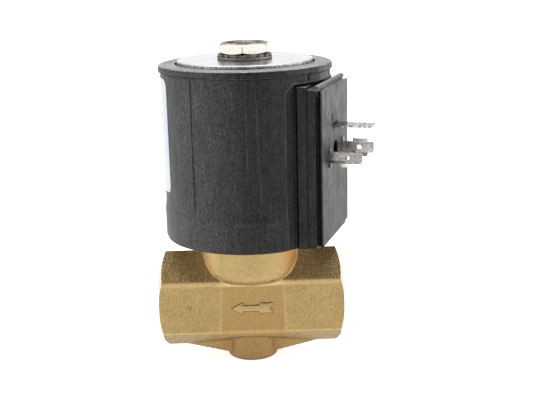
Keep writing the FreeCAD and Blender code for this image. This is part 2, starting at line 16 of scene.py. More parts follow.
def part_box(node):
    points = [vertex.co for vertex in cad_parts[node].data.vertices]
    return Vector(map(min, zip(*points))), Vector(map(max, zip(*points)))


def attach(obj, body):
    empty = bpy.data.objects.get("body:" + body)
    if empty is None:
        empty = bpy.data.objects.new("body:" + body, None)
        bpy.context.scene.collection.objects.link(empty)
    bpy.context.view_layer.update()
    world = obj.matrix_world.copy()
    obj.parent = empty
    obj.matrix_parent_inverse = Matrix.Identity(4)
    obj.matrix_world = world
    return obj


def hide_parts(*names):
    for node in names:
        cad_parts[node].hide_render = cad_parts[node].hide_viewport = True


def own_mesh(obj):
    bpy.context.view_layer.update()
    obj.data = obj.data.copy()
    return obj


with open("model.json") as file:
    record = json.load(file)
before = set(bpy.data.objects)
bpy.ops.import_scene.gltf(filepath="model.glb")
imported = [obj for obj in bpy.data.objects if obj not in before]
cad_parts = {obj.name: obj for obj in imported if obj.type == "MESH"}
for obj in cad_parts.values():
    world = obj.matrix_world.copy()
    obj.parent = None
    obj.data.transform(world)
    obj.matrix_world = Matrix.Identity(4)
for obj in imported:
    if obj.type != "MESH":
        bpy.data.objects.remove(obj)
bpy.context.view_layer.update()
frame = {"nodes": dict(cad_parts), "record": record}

MM = 0.001
NODES = frame["nodes"]
MOUNTS = {mount["name"]: mount for mount in frame["record"]["mounts"]}
SCENE = bpy.context.scene

# --- sizes taken from the frame ---
BODY_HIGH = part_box("valve_body")[1]
HALF_LENGTH = BODY_HIGH.x
NECK_R = BODY_HIGH.y
NECK_TOP = BODY_HIGH.z
PORT_Z = MOUNTS["inlet_port"]["pos_m"][2]
PORT_R = MOUNTS["inlet_port"]["dims"]["r_mm"] * MM
SEAT_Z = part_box("valve_seal")[0].z
SCREW = MOUNTS["plug_screw"]["pos_m"]
CONNECTOR = math.atan2(SCREW[1], SCREW[0])  # the way the connector points, seen from above
TAB_Z = MOUNTS["power_contact_front"]["pos_m"][2]

# --- the body's own sizes ---
HALF_DEPTH = 12.0 * MM  # from the ports' axis to the front flat
FLAT_UP = 9.6 * MM  # from the ports' axis to the flat's upper edge
FLAT_DOWN = 9.25 * MM
RIDGE = 17.3 * MM  # from the ports' axis to where the sloping facets would meet
EDGE_ROUND = 1.1 * MM
END_CONE_R = 12.2 * MM
END_CONE_SLOPE = 0.43
END_TOOL_R = 29.0 * MM
WAIST_DEPTH = 0.6 * MM  # the middle panel lies this much deeper than the flats
WAIST_LEFT = (9.0 * MM, 10.8 * MM)  # the panel's reach at the top ridge and at the bottom one
WAIST_RIGHT = (9.8 * MM, 11.4 * MM)
WAIST_SLOPE = 0.9 * MM
BELLY_DROP = 1.1 * MM
BELLY_LOW = 0.78  # how low the belly reaches inwards, as a share of the ridge
FOOT_R = 8.7 * MM
FOOT_ROUND = 0.9 * MM
KEEL_HALF = 4.6 * MM
KEEL_TIP_HALF = 0.5 * MM
KEEL_ROOT_X = 0.8 * FOOT_R
KEEL_ROOT_Z = 1.7 * MM
KEEL_REACH = 23.0 * MM
KEEL_TIP_UP = 0.3 * MM  # over the bar's lowest ridge
KEEL_TOP_UP = 5.0 * MM
NECK_EDGE = 0.5 * MM
NECK_ROOT_R = 8.9 * MM
BOWL_START_Z = 33.4 * MM
BOWL_MID = (14.9 * MM, 30.15 * MM)
BOWL_LOW = (11.9 * MM, 29.0 * MM)
VOXEL = 0.27 * MM
CAST_GRAIN = 0.022 * MM
CAST_GRAIN_SIZE = 0.9 * MM

# --- marks on the front flat ---
ARROW_Z = 20.4 * MM
ARROW_UPPER = ((-6.8, 0.0), (-3.7, 1.85), (-3.0, 1.8), (-3.2, 0.95), (2.2, 0.95), (3.2, 2.0),
               (4.2, 1.6), (5.0, 1.8), (5.9, 1.6), (6.9, 1.95), (6.7, 1.0), (5.9, 0.0))
ARROW_HALF = (7.4 * MM, 2.5 * MM)  # half length and half height of the arrow and its groove
ARROW_PROUD = 0.32 * MM
ARROW_EDGE_MM = 0.14
MOAT_GAP_MM = 0.26
MOAT_DEPTH = 0.08 * MM
PIP_X = -20.9 * MM
PIP_R = 0.75 * MM
PIP_PROUD = 0.3 * MM

# --- ports ---
THREAD_PITCH = 25.4 * MM / 19
THREAD_MAJOR = 8.33 * MM
THREAD_MINOR = 7.475 * MM
THREAD_DEPTH = 11.0 * MM
THREAD_STEPS = 96  # round one turn
THREAD_ROWS = 14  # along one pitch
THREAD_SHARPNESS = 1.35  # 1 would be a plain zigzag; above it the crests and roots are flat
MOUTH_GROW = 0.2 * MM  # the mouth's chamfer starts this much outside the thread
PORT_DEPTH = 13.0 * MM
PORT_CONE = 0.6  # length of the cone at the port's bottom over its drop in radius
PASSAGE_R = 4.2 * MM
ORIFICE_R = 3.2 * MM
RISER_R = 2.5 * MM
RISER_X = 8.1 * MM
CHAMBER_R = 10.4 * MM
CHAMBER_FLOOR = 27.0 * MM
SEAT_R = 4.9 * MM
NECK_BORE_R = 12.4 * MM
NECK_BORE_FLOOR = 34.4 * MM
OVERCUT = 1.0 * MM  # how far a cutting tool runs past what it cuts

# --- other pieces ---
TAB_HALF = 1.85 * MM  # half the height of a power contact's blade

# --- stage, light and camera ---
ROOM_LIGHT = 1.0  # of the white room all round
FRONT_SHADE = 0.22  # of the side behind the camera
LIGHT_TARGET = (0, 0, 0.055)
LIGHTS = {  # place, size and power of the soft lights
    "left_light": ((-0.75, -0.25, 0.30), (0.8, 0.9), 3.0),
    "right_light": ((0.75, -0.10, 0.30), (0.5, 0.7), 3.5),
    "top_light": ((0, 0.15, 0.95), (0.9, 0.9), 3.0),
}
FLOOR_HALF = 4.0
FLOOR_Z = -0.02 * MM  # just under the foot, so the two surfaces don't share a plane
FLOOR_GLOW = 0.7
CAMERA_PLACE = (0, -0.32021, 0.13746)
CAMERA_PITCH = math.radians(14.447)  # downwards
CAMERA_YAW = math.radians(1.101)  # to the right
CAMERA_ROLL = math.radians(1.397)
CAMERA_LENS = 65.64
CAMERA_SENSOR = 36.0
CAMERA_RANGE = (0.01, 20.0)


# --- mesh helpers ---
def new_object(name, bm):
    """Links a new object made from a bmesh, which is freed."""
    bmesh.ops.recalc_face_normals(bm, faces=bm.faces)
    mesh = bpy.data.meshes.new(name)
    bm.to_mesh(mesh)
    bm.free()
    obj = bpy.data.objects.new(name, mesh)
    SCENE.collection.objects.link(obj)
    return obj


def frame_along(axis):
    """Rotation that takes +Z to the axis and keeps +X as far as it can."""
    axis = Vector(axis).normalized()
    side = Vector((0, 1, 0)).cross(axis)
    if side.length < 0.1:
        side = Vector((1, 0, 0))
    side.normalize()
    return Matrix((side, axis.cross(side), axis)).transposed().to_4x4()


def ring(bm, radius, height, steps):
    """Vertices round +Z, or a single one on the axis when the radius is 0."""
    if not radius:
        return [bm.verts.new((0, 0, height))]
    angles = [2 * math.pi * i / steps for i in range(steps)]
    return [bm.verts.new((radius * math.cos(a), radius * math.sin(a), height)) for a in angles]


def lathe(name, profile, axis=(0, 0, 1), centre=(0, 0, 0), steps=128):
    """Closed solid of revolution from (radius, height) points that start and end on the axis."""
    bm = bmesh.new()
    rings = [ring(bm, radius, height, steps) for radius, height in profile]
    for lower, upper in zip(rings, rings[1:]):
        skin(bm, lower, upper)
    bm.transform(Matrix.Translation(centre) @ frame_along(axis))
    return new_object(name, bm)


def skin(bm, lower, upper):
    """Faces between two rings of vertices; a ring of one vertex is a pole."""
    count = max(len(lower), len(upper))
    for i in range(count):
        j = (i + 1) % count
        corners = [lower[i % len(lower)], lower[j % len(lower)],
                   upper[j % len(upper)], upper[i % len(upper)]]
        unique = list(dict.fromkeys(corners))
        if len(unique) > 2:
            bm.faces.new(unique)


def prism(name, outline, along):
    """Closed solid from an outline of points, pushed along a vector."""
    bm = bmesh.new()
    near = [bm.verts.new(point) for point in outline]
    far = [bm.verts.new(Vector(point) + Vector(along)) for point in outline]
    bm.faces.new(near)
    bm.faces.new(list(reversed(far)))
    skin(bm, near, far)
    return new_object(name, bm)


def hull(name, points):
    """Convex solid round a few points."""
    bm = bmesh.new()
    for point in points:
        bm.verts.new(point)
    bmesh.ops.convex_hull(bm, input=bm.verts)
    return new_object(name, bm)


def rounded(outline, radius, steps=6):
    """The closed 2-D outline with every corner turned into an arc."""
    points = []
    count = len(outline)
    for i, corner in enumerate(outline):
        here = Vector(corner)
        back = (Vector(outline[i - 1]) - here).normalized()
        ahead = (Vector(outline[(i + 1) % count]) - here).normalized()
        half_angle = back.angle(ahead) / 2
        middle = here + (back + ahead).normalized() * radius / math.sin(half_angle)
        start = here + back * radius / math.tan(half_angle) - middle
        end = here + ahead * radius / math.tan(half_angle) - middle
        for k in range(steps + 1):
            points.append(middle + start.lerp(end, k / steps).normalized() * radius)
    return points


def arc_through(a, b, c, steps=16):
    """Points along the circle's arc from a through b to c, in 2-D."""
    a, b, c = Vector(a), Vector(b), Vector(c)
    ab, ac = b - a, c - a
    cross = 2 * (ab.x * ac.y - ab.y * ac.x)
    centre = a + Vector((ac.y * ab.length_squared - ab.y * ac.length_squared,
                         ab.x * ac.length_squared - ac.x * ab.length_squared)) / cross
    start = math.atan2(a.y - centre.y, a.x - centre.x)
    sweep = math.atan2(c.y - centre.y, c.x - centre.x) - start
    sweep = (sweep + math.pi) % (2 * math.pi) - math.pi
    radius = (a - centre).length
    turns = [start + sweep * k / steps for k in range(steps + 1)]
    return [(centre.x + radius * math.cos(t), centre.y + radius * math.sin(t)) for t in turns]


def applied(obj):
    """Makes the object's modifiers part of its mesh."""
    graph = bpy.context.evaluated_depsgraph_get()
    mesh = bpy.data.meshes.new_from_object(obj.evaluated_get(graph))
    old = obj.data
    obj.modifiers.clear()
    obj.data = mesh
    bpy.data.meshes.remove(old)
    return obj


def boolean(obj, tool, operation):
    """Cuts, joins or meets obj with a tool, which is used up."""
    modifier = obj.modifiers.new("boolean", "BOOLEAN")
    modifier.operation = operation
    modifier.solver = "MANIFOLD"
    modifier.object = tool
    applied(obj)
    bpy.data.objects.remove(tool)


def melted(name, parts, voxel, smoothing):
    """One closed skin over several overlapping solids, with softened edges and corners."""
    bm = bmesh.new()
    for part in parts:
        bm.from_mesh(part.data)
        bpy.data.objects.remove(part)
    obj = new_object(name, bm)
    remesh = obj.modifiers.new("remesh", "REMESH")
    remesh.mode = "VOXEL"
    remesh.voxel_size = voxel
    smooth = obj.modifiers.new("smooth", "SMOOTH")
    smooth.factor = 0.5
    smooth.iterations = smoothing
    return applied(obj)


def bevel(obj, edge_mm, degrees):
    """Adds a modifier that rounds the edges sharper than the angle."""
    modifier = obj.modifiers.new("bevel", "BEVEL")
    modifier.width = edge_mm * MM
    modifier.segments = 2
    modifier.limit_method = "ANGLE"
    modifier.angle_limit = math.radians(degrees)


def smooth_faces(obj):
    """Smooth shading on every face."""
    for polygon in obj.data.polygons:
        polygon.use_smooth = True


# --- the forged body ---
def bar_solid():
    """Six-sided bar, longer than the body, with rounded long edges and a sunk front and back."""
    outline = rounded([(-HALF_DEPTH, -FLAT_DOWN), (-HALF_DEPTH, FLAT_UP), (0, RIDGE),
                       (HALF_DEPTH, FLAT_UP), (HALF_DEPTH, -FLAT_DOWN), (0, -RIDGE)], EDGE_ROUND)
    start = -HALF_LENGTH - 2 * OVERCUT
    bar = prism("bar", [(start, y, PORT_Z + z) for y, z in outline], (-2 * start, 0, 0))
    for side in (-1, 1):
        boolean(bar, waist_tool(side), "DIFFERENCE")
    return bar


def waist_tool(side):
    """What sinks the middle panel on one side: wider at the bottom, with sloping flanks."""
    floor = HALF_DEPTH - WAIST_DEPTH
    points = []
    for y, grow in ((floor, 0), (floor + 2 * WAIST_DEPTH, 2 * WAIST_SLOPE)):
        for left, right, z in zip(WAIST_LEFT, WAIST_RIGHT, (PORT_Z + RIDGE, PORT_Z - RIDGE)):
            points += [(right + grow, side * y, z), (-left - grow, side * y, z)]
    return hull("waist_tool", points)


def neck_solid():
    """Round neck that runs down into a bowl and ends inside the bar."""
    curve = arc_through((NECK_R, BOWL_START_Z), BOWL_MID, BOWL_LOW)
    profile = [(0, PORT_Z), (NECK_ROOT_R, PORT_Z)] + curve[::-1]
    profile += [(NECK_R, NECK_TOP - NECK_EDGE), (NECK_R - NECK_EDGE, NECK_TOP), (0, NECK_TOP)]
    return lathe("neck", profile)


def foot_solid():
    """Round foot with a rounded lower edge."""
    arc = [(FOOT_R - FOOT_ROUND * (1 - math.sin(t)), FOOT_ROUND * (1 - math.cos(t)))
           for t in (math.radians(15 * k) for k in range(7))]
    return lathe("foot", [(0, 0)] + arc + [(FOOT_R, PORT_Z - FLAT_DOWN), (0, PORT_Z - FLAT_DOWN)])


def keel_solid(side):
    """Fin under the bar that runs from the foot towards one end."""
    low = PORT_Z - RIDGE
    root, tip = side * KEEL_ROOT_X, side * KEEL_REACH
    points = [(tip, y, low + KEEL_TIP_UP) for y in (-KEEL_TIP_HALF, KEEL_TIP_HALF)]
    points += [(root, y, KEEL_ROOT_Z) for y in (-KEEL_HALF, KEEL_HALF)]
    points += [(tip, 0, low + KEEL_TOP_UP)]
    points += [(root, y, low + KEEL_TOP_UP) for y in (-KEEL_HALF, KEEL_HALF)]
    return hull("keel", points)


def belly_solid(side):
    """What the panel's lower edge hangs below the flats beside it."""
    y = side * (HALF_DEPTH - WAIST_DEPTH)
    edge = PORT_Z - FLAT_DOWN
    points = []
    for x in (-WAIST_LEFT[1], WAIST_RIGHT[1]):
        points += [(x, y, edge), (x, y, edge - BELLY_DROP), (x, y / 2, PORT_Z - RIDGE * BELLY_LOW),
                   (x, y / 2, edge)]
    return hull("belly", points)


def arrow_outline(grow=0.0):
    """The arrow's outline in mm, as (x, height above its middle), made larger by grow."""
    corners = [Vector(point) for point in ARROW_UPPER]
    corners += [Vector((x, -z)) for x, z in reversed(ARROW_UPPER[1:-1])]
    grown = []
    for i, here in enumerate(corners):
        back = (here - corners[i - 1]).normalized()
        ahead = (corners[(i + 1) % len(corners)] - here).normalized()
        out = Vector((-back.y - ahead.y, back.x + ahead.x))
        grown.append(here + out * (grow / max(1 + back.dot(ahead), 0.5)))
    return grown


def arrow_prism(name, y, depth, grow=0.0):
    """Solid in the arrow's outline, from y towards the front."""
    outline = [(x * MM, y, ARROW_Z + z * MM) for x, z in arrow_outline(grow)]
    return prism(name, outline, (0, -depth, 0))


def arrow_solid():
    """Raised arrow on the sunk panel; it points along the flow."""
    arrow = arrow_prism("arrow", -HALF_DEPTH + 2 * WAIST_DEPTH, WAIST_DEPTH + ARROW_PROUD)
    bevel(arrow, ARROW_EDGE_MM, degrees=40)
    return applied(arrow)


def moat_tool():
    """What cuts the shallow groove all round the arrow."""
    return arrow_prism("moat", -HALF_DEPTH + WAIST_DEPTH + MOAT_DEPTH, 2 * OVERCUT, MOAT_GAP_MM)


def pip_solid():
    """Tiny raised ring on the left of the front flat."""
    top = OVERCUT + PIP_PROUD
    profile = [(0, 0), (PIP_R, 0), (PIP_R * 0.9, top), (PIP_R * 0.5, top),
               (PIP_R * 0.45, top - PIP_PROUD), (0, top - PIP_PROUD)]
    return lathe("pip", profile, (0, -1, 0), (PIP_X, -HALF_DEPTH + OVERCUT, PORT_Z), steps=32)


def roughened(obj, size, scale):
    """Moves every vertex a little along its normal, as on a sand-blasted skin."""
    mesh = obj.data
    moved = [vertex.co + vertex.normal * size * noise.noise(vertex.co / scale)
             for vertex in mesh.vertices]
    for vertex, place in zip(mesh.vertices, moved):
        vertex.co = place


def end_tool():
    """Double cone that turns the chamfers at both ends and faces them."""
    run = (END_TOOL_R - END_CONE_R) * END_CONE_SLOPE
    profile = [(0, -HALF_LENGTH), (END_CONE_R, -HALF_LENGTH), (END_TOOL_R, -HALF_LENGTH + run),
               (END_TOOL_R, HALF_LENGTH - run), (END_CONE_R, HALF_LENGTH), (0, HALF_LENGTH)]
    return lathe("end_tool", profile, (1, 0, 0), (0, 0, PORT_Z), steps=256)


def thread_radius(depth, angle):
    """The port's radius there: a chamfered mouth, a right-handed thread, then a plain end."""
    phase = (depth / THREAD_PITCH - angle / (2 * math.pi)) % 1
    crest = abs(2 * phase - 1) * THREAD_SHARPNESS - (THREAD_SHARPNESS - 1) / 2
    crest = min(1.0, max(0.0, crest))
    radius = THREAD_MINOR + (THREAD_MAJOR - THREAD_MINOR) * crest
    if depth > THREAD_DEPTH:
        radius = PORT_R
    return max(radius, THREAD_MAJOR + MOUTH_GROW - max(depth, 0))


def port_tool(side):
    """What cuts one port: a screw surface closed by a cone at the passage's size."""
    bm = bmesh.new()
    depth = -OVERCUT
    rings = [ring(bm, 0, depth, THREAD_STEPS)]
    while depth < PORT_DEPTH:
        row = []
        for i in range(THREAD_STEPS):
            angle = 2 * math.pi * i / THREAD_STEPS
            radius = thread_radius(depth, angle)
            row.append(bm.verts.new((radius * math.cos(angle), radius * math.sin(angle), depth)))
        rings.append(row)
        depth += THREAD_PITCH / THREAD_ROWS
    tip = PORT_DEPTH + (PORT_R - PASSAGE_R) * PORT_CONE
    rings += [ring(bm, PASSAGE_R, tip, THREAD_STEPS), ring(bm, 0, tip, THREAD_STEPS)]
    for lower, upper in zip(rings, rings[1:]):
        skin(bm, lower, upper)
    face = Vector((side * HALF_LENGTH, 0, PORT_Z))
    bm.transform(Matrix.Translation(face) @ frame_along((-side, 0, 0)))
    return new_object("port_tool", bm)


def drill(radius, start, end):
    """Plain round hole from one point to another."""
    run = Vector(end) - Vector(start)
    profile = [(0, 0), (radius, 0), (radius, run.length), (0, run.length)]
    return lathe("drill", profile, run, start, steps=64)


def chamber_tool():
    """What cuts the room round the seat and the bore that takes the bonnet."""
    top = NECK_TOP + OVERCUT
    profile = [(0, SEAT_Z), (SEAT_R, SEAT_Z), (SEAT_R, CHAMBER_FLOOR), (CHAMBER_R, CHAMBER_FLOOR),
               (CHAMBER_R, NECK_BORE_FLOOR), (NECK_BORE_R, NECK_BORE_FLOOR), (NECK_BORE_R, top),
               (0, top)]
    return lathe("chamber_tool", profile)


def machined(centre):
    """True where a point of the body lies on a turned face, a chamfer or inside a bore."""
    near = 0.1 * MM
    radius = math.hypot(centre.y, centre.z - PORT_Z)
    depth = HALF_LENGTH - abs(centre.x)
    near_cone = abs(depth - (radius - END_CONE_R) * END_CONE_SLOPE) < 0.4 * near
    near_face = depth < 0.2 * near
    in_port = radius < THREAD_MAJOR + 4 * near and abs(centre.x) > CHAMBER_R
    from_axis = math.hypot(centre.x, centre.y)
    in_chamber = from_axis < CHAMBER_R + near and centre.z > PORT_Z - PASSAGE_R - near
    in_neck = from_axis < NECK_BORE_R + near and centre.z > NECK_BORE_FLOOR - near
    return near_cone or near_face or in_port or in_chamber or in_neck


def on_relief(polygon):
    """True in the groove round the arrow, on the faces that look down, where painted shade goes."""
    place, normal = polygon.center, polygon.normal
    panel = -HALF_DEPTH + WAIST_DEPTH
    near = abs(place.x) < ARROW_HALF[0] and abs(place.z - ARROW_Z) < ARROW_HALF[1]
    in_front = panel - 1.6 * MM < place.y < panel + 0.5 * MM
    sunk = place.y > panel + MOAT_DEPTH / 2 or abs(normal.y) < 0.35
    shaded = normal.z < 0.2 and (place.z < ARROW_Z or normal.z < -0.2)
    return near and in_front and sunk and shaded


def casting(materials):
    """The whole body: forged skin first, then everything that is machined out of it."""
    parts = [bar_solid(), neck_solid(), foot_solid()]
    for side in (-1, 1):
        parts += [keel_solid(side), belly_solid(side)]
    body = melted("body_casting", parts, VOXEL, smoothing=3)
    roughened(body, CAST_GRAIN, CAST_GRAIN_SIZE)
    boolean(body, moat_tool(), "DIFFERENCE")
    boolean(body, arrow_solid(), "UNION")
    boolean(body, pip_solid(), "UNION")
    boolean(body, end_tool(), "INTERSECT")
    inner = HALF_LENGTH - PORT_DEPTH
    for tool in (port_tool(1), port_tool(-1), chamber_tool(),
                 drill(PASSAGE_R, (-inner, 0, PORT_Z), (ORIFICE_R, 0, PORT_Z)),
                 drill(PASSAGE_R, (inner, 0, PORT_Z), (RISER_X, 0, PORT_Z)),
                 drill(ORIFICE_R, (0, 0, PORT_Z), (0, 0, SEAT_Z + OVERCUT)),
                 drill(RISER_R, (RISER_X, 0, PORT_Z), (RISER_X, 0, CHAMBER_FLOOR + OVERCUT))):
        boolean(body, tool, "DIFFERENCE")
    body.data.materials.clear()
    for material in materials:
        body.data.materials.append(material)
    for polygon in body.data.polygons:
        # index 2: painted shade in the groove round the arrow
        polygon.material_index = 2 if on_relief(polygon) else int(machined(polygon.center))
    smooth_faces(body)
    body.data.set_sharp_from_angle(angle=math.radians(30))
    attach(body, "valve")
    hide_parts("valve_body")


# --- materials ---
class Paint:
    """Small builder for one node material that works in the object's own millimetres."""

    def __init__(self, name):
        self.material = bpy.data.materials.new(name)
        self.material.use_nodes = True
        self.tree = self.material.node_tree
        self.shader = self.tree.nodes["Principled BSDF"]
        where = self.node("ShaderNodeTexCoord").outputs["Object"]
        scale = self.node("ShaderNodeVectorMath", {0: where, "Scale": 1 / MM}, operation="SCALE")
        self.position = scale.outputs[0]

    def fill(self, node, inputs):
        """Sets a node's inputs to numbers, RGB colours or other nodes' outputs; skips None."""
        for key, value in inputs.items():
            target = node.inputs[key]
            if isinstance(value, bpy.types.NodeSocket):
                self.tree.links.new(value, target)
            elif value is not None:
                target.default_value = (*value, 1.0) if target.type == "RGBA" else value

    def node(self, kind, inputs=None, **properties):
        """Adds a node, sets its properties and fills its inputs."""
        made = self.tree.nodes.new(kind)
        for key, value in properties.items():
            setattr(made, key, value)
        self.fill(made, inputs or {})
        return made

    def noise(self, size_mm, detail=4.0, roughness=0.55, stretch=(1, 1, 1)):
        """Noise whose grains are about size_mm across."""
        scale = [s / size_mm for s in stretch]
        mapping = self.node("ShaderNodeMapping", {"Vector": self.position, "Scale": scale})
        made = self.node("ShaderNodeTexNoise", {"Vector": mapping.outputs[0], "Scale": 1.0,
                                                "Detail": detail, "Roughness": roughness})
        return made.outputs["Fac"]

    def remap(self, value, low, high, to_low, to_high):
        """Runs from to_low to to_high while the value runs from low to high."""
        made = self.node("ShaderNodeMapRange", {"Value": value, "From Min": low, "From Max": high,
                                                "To Min": to_low, "To Max": to_high}, clamp=True)
        return made.outputs["Result"]

    def ramp(self, value, start, end):
        """0 at the start and 1 at the end, which may be the lower of the two."""
        if start < end:
            return self.remap(value, start, end, 0, 1)
        return self.remap(value, end, start, 1, 0)

    def band(self, value, centre, half, soft):
        """1 within half of the centre, which may be a node's output; fades over soft."""
        away = self.math("ABSOLUTE", self.math("SUBTRACT", value, centre))
        return self.ramp(away, half + soft, half)

    def math(self, operation, a, b=0.0):
        return self.node("ShaderNodeMath", {0: a, 1: b}, operation=operation).outputs[0]

    def chain(self, operation, values):
        """One operation over several masks, from the first to the last."""
        made = self.mask(values[0])
        for value in values[1:]:
            made = self.math(operation, made, self.mask(value))
        return made

    def mask(self, item):
        """A mask as it is, or a (value, place) pair turned into a ramp or a band."""
        if not isinstance(item, tuple):
            return item
        value, place = item
        return self.ramp(value, *place) if len(place) == 2 else self.band(value, *place)

    def product(self, *factors):
        return self.chain("MULTIPLY", factors)

    def most(self, *masks):
        return self.chain("MAXIMUM", masks)

    def mix(self, factor, a, b):
        """Blend of two colours; either may be another node's output."""
        inputs = {"Factor": self.mask(factor), "A": a, "B": b}
        return self.node("ShaderNodeMix", inputs, data_type="RGBA").outputs["Result"]

    def coats(self, colour, *coats):
        """Lays (mask, colour) pairs over a colour, one after the other."""
        for mask, coat in coats:
            colour = self.mix(mask, colour, coat)
        return colour

    def bump(self, height, distance_mm, strength=1.0, below=None):
        """Normal of a bumpy surface, laid over another normal where one is given."""
        inputs = {"Height": height, "Distance": distance_mm * MM, "Strength": strength,
                  "Normal": below}
        return self.node("ShaderNodeBump", inputs).outputs[0]

    def separate(self):
        """The point's x, y and z in mm."""
        return self.node("ShaderNodeSeparateXYZ", {0: self.position}).outputs

    def along(self):
        """How far a point lies from the coil's axis, in the direction of the connector."""
        x, y, _ = self.separate()
        return self.math("ADD", self.product(x, math.cos(CONNECTOR)),
                         self.product(y, math.sin(CONNECTOR)))

    def sideways(self):
        """How far a point lies to the side of the connector's middle; less than 0 in front."""
        x, y, _ = self.separate()
        return self.math("SUBTRACT", self.product(y, math.cos(CONNECTOR)),
                         self.product(x, math.sin(CONNECTOR)))

    def from_axis(self):
        x, y, _ = self.separate()
        return self.math("SQRT", self.math("ADD", self.product(x, x), self.product(y, y)))

    def degrees(self, rise, run):
        """The angle of a slope."""
        return self.product(self.math("ARCTAN2", rise, run), 180 / math.pi)

    def facing(self, axis):
        """How squarely a face looks along an axis or against it, from 0 to 1."""
        normal = self.node("ShaderNodeNewGeometry").outputs["True Normal"]
        parts = self.node("ShaderNodeSeparateXYZ", {0: normal}).outputs
        return self.math("ABSOLUTE", parts[axis])

    def plating(self, rough_low, rough_high, wave=0.0):
        """Uneven roughness, and the normal of a slightly wavy skin."""
        fine = self.noise(0.35, 3, 0.65)
        rough = self.remap(fine, 0.3, 0.7, rough_low, rough_high)
        below = self.bump(self.noise(3.0, 2), wave, 0.5) if wave else None
        return rough, self.bump(fine, 0.015, 0.5, below)

    def finish(self, colour, roughness, normal=None, metallic=0.0, specular=0.5, glint=None):
        """Fills in the shader; glint is the colour of reflections at a grazing angle."""
        self.fill(self.shader, {
            "Base Color": colour, "Roughness": roughness, "Metallic": metallic,
            "Specular IOR Level": specular, "Specular Tint": glint, "Normal": normal})
        return self.material


def grey(level):
    return (level,) * 3


# --- the forging: tones, and the places in mm that they follow ---
# A place is a fade (start, end) or a band (middle, half width, softness).
BRASS = {
    "patch": ((0.334, 0.236, 0.102), (0.376, 0.260, 0.111)),
    "neck": (0.400, 0.290, 0.130),
    "panel": (0.345, 0.221, 0.083),
    # painted highlight on the sunk panel's sloping sides
    "panel_flank_highlight": (0.60, 0.46, 0.24),
    # painted highlight along the flat's edges
    "flat_edge_highlight": (0.64, 0.49, 0.25),
    "facet_shade": ((0.335, 0.222, 0.090), (0.21, 0.145, 0.060)),  # painted shade on the sloping facets: in the middle, at the ends
    # painted shade low in the body's middle, round the foot
    "belly": (0.29, 0.178, 0.073),
    "foot_edge_shade": (0.15, 0.085, 0.032),
    "neck_side_reflection": ((0.86, 0.62, 0.28), (0.50, 0.27, 0.080)),  # painted reflections on the neck's sides: left, right
    "neck_limb_highlight": (0.95, 0.80, 0.52),
    "neck_seam_highlight": (0.75, 0.58, 0.32),
    "arrow": (0.54, 0.41, 0.21),
    "reddish": (0.37, 0.19, 0.075),
    "pit": (0.17, 0.105, 0.038),
    "peak": (0.70, 0.55, 0.30),
    # painted shade in the groove round the arrow
    "relief_shade": ((0.19, 0.125, 0.048), (0.27, 0.18, 0.074)),
    "turned": ((0.50, 0.41, 0.25), (0.42, 0.34, 0.205)),
}
FRONT_FLAT = (10.4, 10.9)  # distance in front of or behind the ports' axis
NECK_UP = (30.2, 31.2)  # height
PANEL_INSIDE = (-0.2, 0.3)  # distance inside the panel's slanted edges
PANEL_BELOW = (30.0, 28.2)  # height
PANEL_BROWNING = (15.0, 27.0, 1.0, 0.45)  # two heights and the strength at each
FLANK_INSIDE = (-0.55, 0.2, 0.3)
FLANK_BELOW = (31.0, 29.0)
FLAT_EDGES = ((29.4, 0.5, 0.7), (11.9, 0.3, 0.5))  # heights of the flat's two edges, where highlights are painted
SLOPING = (0.35, 0.7)  # how squarely a facet looks up or down; such facets get painted shade
ROOF_ENDS = (22.0, 30.0)  # aside: distance from the neck's axis along the bar; the painted shade darkens towards the ends
# painted shade low in the body's middle: height, and distance along the bar
BELLY_BELOW, BELLY_ASIDE = (11.4, 9.0), (12.5, 8.5)
FOOT_LOW, FOOT_LIMB, FOOT_BELOW = (1.6, 0.3), (0.7, 1.0), (9.0, 7.5)  # painted shade on the foot's lower edge and sides; limb: facing sideways
NECK_SIDE_UP, NECK_SIDE_LIMB, NECK_ACROSS = (28.8, 30.0), (0.62, 0.9), (-8.0, 8.0)
# painted highlight along the neck's outline: height, and how squarely it faces sideways
LIMB_UP, LIMB_EDGE = (28.8, 29.5), (0.94, 0.985)
# painted highlight where the neck's bowl meets the front flat
SEAM, SEAM_ASIDE = (28.9, 0.4, 0.5), (12.0, 9.0)
ARROW_FRONT = (-11.45, -11.6)
ARROW_LONG, ARROW_HIGH = (0.0, 7.0, 0.1), (ARROW_Z / MM, 2.2, 0.1)
RED_INSIDE, RED_BELOW = (1.3, 0.5, 1.0), (22.0, 15.0)


